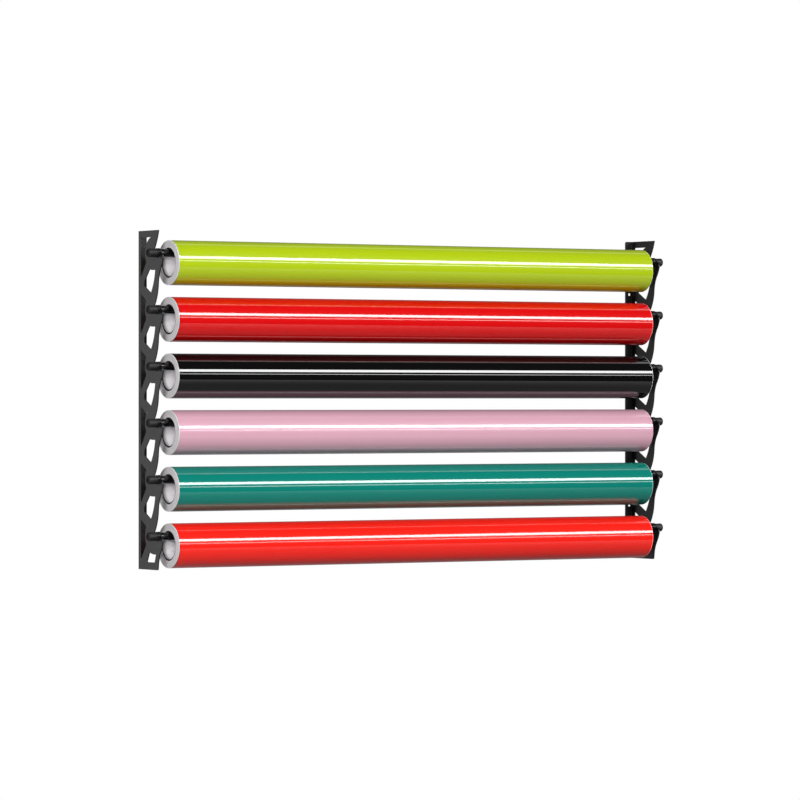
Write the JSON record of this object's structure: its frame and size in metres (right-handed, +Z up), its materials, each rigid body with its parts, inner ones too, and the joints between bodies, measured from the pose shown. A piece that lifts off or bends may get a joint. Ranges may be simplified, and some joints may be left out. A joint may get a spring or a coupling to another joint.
{
  "type": "wall rack with backdrop rolls",
  "caption": "Wall rack for backdrop rolls: two hooked sheet-steel brackets carry lift-out bars, and a glossy roll of film on a hollow core hangs and turns on each bar.",
  "frame": {"origin": "centre of the wall screw pattern in the wall plane, midway between the brackets and halfway up them", "axes": "+X along the rolls to the right as seen from the room, +Y into the wall, +Z up"},
  "size_m": [1.651, 0.1645, 0.9],
  "materials": {
    "bracket_paint": "satin",
    "bar_paint": "gloss",
    "cap_plastic": "matte",
    "bush_plastic": "satin",
    "core_board": "matte",
    "film_1": "gloss",
    "film_2": "gloss",
    "film_3": "gloss",
    "film_4": "gloss",
    "film_5": "gloss",
    "film_6": "gloss"
  },
  "bodies": {
    "rack": {"left_bracket": "bracket_paint", "right_bracket": "bracket_paint"},
    "bushes_1": {"left_bush_1": "bush_plastic", "right_bush_1": "bush_plastic"},
    "bar_1": {"bar_tube_1": "bar_paint", "left_cap_1": "cap_plastic", "right_cap_1": "cap_plastic"},
    "roll_1": {"roll_core_1": "core_board", "roll_film_1": "film_1"},
    "bushes_2": {"left_bush_2": "bush_plastic", "right_bush_2": "bush_plastic"},
    "bar_2": {"bar_tube_2": "bar_paint", "left_cap_2": "cap_plastic", "right_cap_2": "cap_plastic"},
    "roll_2": {"roll_core_2": "core_board", "roll_film_2": "film_2"},
    "bushes_3": {"left_bush_3": "bush_plastic", "right_bush_3": "bush_plastic"},
    "bar_3": {"bar_tube_3": "bar_paint", "left_cap_3": "cap_plastic", "right_cap_3": "cap_plastic"},
    "roll_3": {"roll_core_3": "core_board", "roll_film_3": "film_3"},
    "bushes_4": {"left_bush_4": "bush_plastic", "right_bush_4": "bush_plastic"},
    "bar_4": {"bar_tube_4": "bar_paint", "left_cap_4": "cap_plastic", "right_cap_4": "cap_plastic"},
    "roll_4": {"roll_core_4": "core_board", "roll_film_4": "film_4"},
    "bushes_5": {"left_bush_5": "bush_plastic", "right_bush_5": "bush_plastic"},
    "bar_5": {"bar_tube_5": "bar_paint", "left_cap_5": "cap_plastic", "right_cap_5": "cap_plastic"},
    "roll_5": {"roll_core_5": "core_board", "roll_film_5": "film_5"},
    "bushes_6": {"left_bush_6": "bush_plastic", "right_bush_6": "bush_plastic"},
    "bar_6": {"bar_tube_6": "bar_paint", "left_cap_6": "cap_plastic", "right_cap_6": "cap_plastic"},
    "roll_6": {"roll_core_6": "core_board", "roll_film_6": "film_6"}
  },
  "joints": [
    {"name": "bar_lift_1", "type": "slide", "parent": "rack", "child": "bushes_1", "axis": [0, -0.4226, 0.9063], "range_m": [0, 0.03]},
    {"name": "bar_turn_1", "type": "hinge", "parent": "bushes_1", "child": "bar_1", "pos_m": [0, -0.105, 0.389], "axis": [1, 0, 0], "continuous": true},
    {"name": "roll_turn_1", "type": "hinge", "parent": "bushes_1", "child": "roll_1", "pos_m": [0, -0.105, 0.36395], "axis": [1, 0, 0], "continuous": true},
    {"name": "bar_lift_2", "type": "slide", "parent": "rack", "child": "bushes_2", "axis": [0, -0.4226, 0.9063], "range_m": [0, 0.03]},
    {"name": "bar_turn_2", "type": "hinge", "parent": "bushes_2", "child": "bar_2", "pos_m": [0, -0.105, 0.239], "axis": [1, 0, 0], "continuous": true},
    {"name": "roll_turn_2", "type": "hinge", "parent": "bushes_2", "child": "roll_2", "pos_m": [0, -0.105, 0.21395], "axis": [1, 0, 0], "continuous": true},
    {"name": "bar_lift_3", "type": "slide", "parent": "rack", "child": "bushes_3", "axis": [0, -0.4226, 0.9063], "range_m": [0, 0.03]},
    {"name": "bar_turn_3", "type": "hinge", "parent": "bushes_3", "child": "bar_3", "pos_m": [0, -0.105, 0.089], "axis": [1, 0, 0], "continuous": true},
    {"name": "roll_turn_3", "type": "hinge", "parent": "bushes_3", "child": "roll_3", "pos_m": [0, -0.105, 0.06395], "axis": [1, 0, 0], "continuous": true},
    {"name": "bar_lift_4", "type": "slide", "parent": "rack", "child": "bushes_4", "axis": [0, -0.4226, 0.9063], "range_m": [0, 0.03]},
    {"name": "bar_turn_4", "type": "hinge", "parent": "bushes_4", "child": "bar_4", "pos_m": [0, -0.105, -0.061], "axis": [1, 0, 0], "continuous": true},
    {"name": "roll_turn_4", "type": "hinge", "parent": "bushes_4", "child": "roll_4", "pos_m": [0, -0.105, -0.08605], "axis": [1, 0, 0], "continuous": true},
    {"name": "bar_lift_5", "type": "slide", "parent": "rack", "child": "bushes_5", "axis": [0, -0.4226, 0.9063], "range_m": [0, 0.03]},
    {"name": "bar_turn_5", "type": "hinge", "parent": "bushes_5", "child": "bar_5", "pos_m": [0, -0.105, -0.211], "axis": [1, 0, 0], "continuous": true},
    {"name": "roll_turn_5", "type": "hinge", "parent": "bushes_5", "child": "roll_5", "pos_m": [0, -0.105, -0.23605], "axis": [1, 0, 0], "continuous": true},
    {"name": "bar_lift_6", "type": "slide", "parent": "rack", "child": "bushes_6", "axis": [0, -0.4226, 0.9063], "range_m": [0, 0.03]},
    {"name": "bar_turn_6", "type": "hinge", "parent": "bushes_6", "child": "bar_6", "pos_m": [0, -0.105, -0.361], "axis": [1, 0, 0], "continuous": true},
    {"name": "roll_turn_6", "type": "hinge", "parent": "bushes_6", "child": "roll_6", "pos_m": [0, -0.105, -0.38605], "axis": [1, 0, 0], "continuous": true}
  ]
}
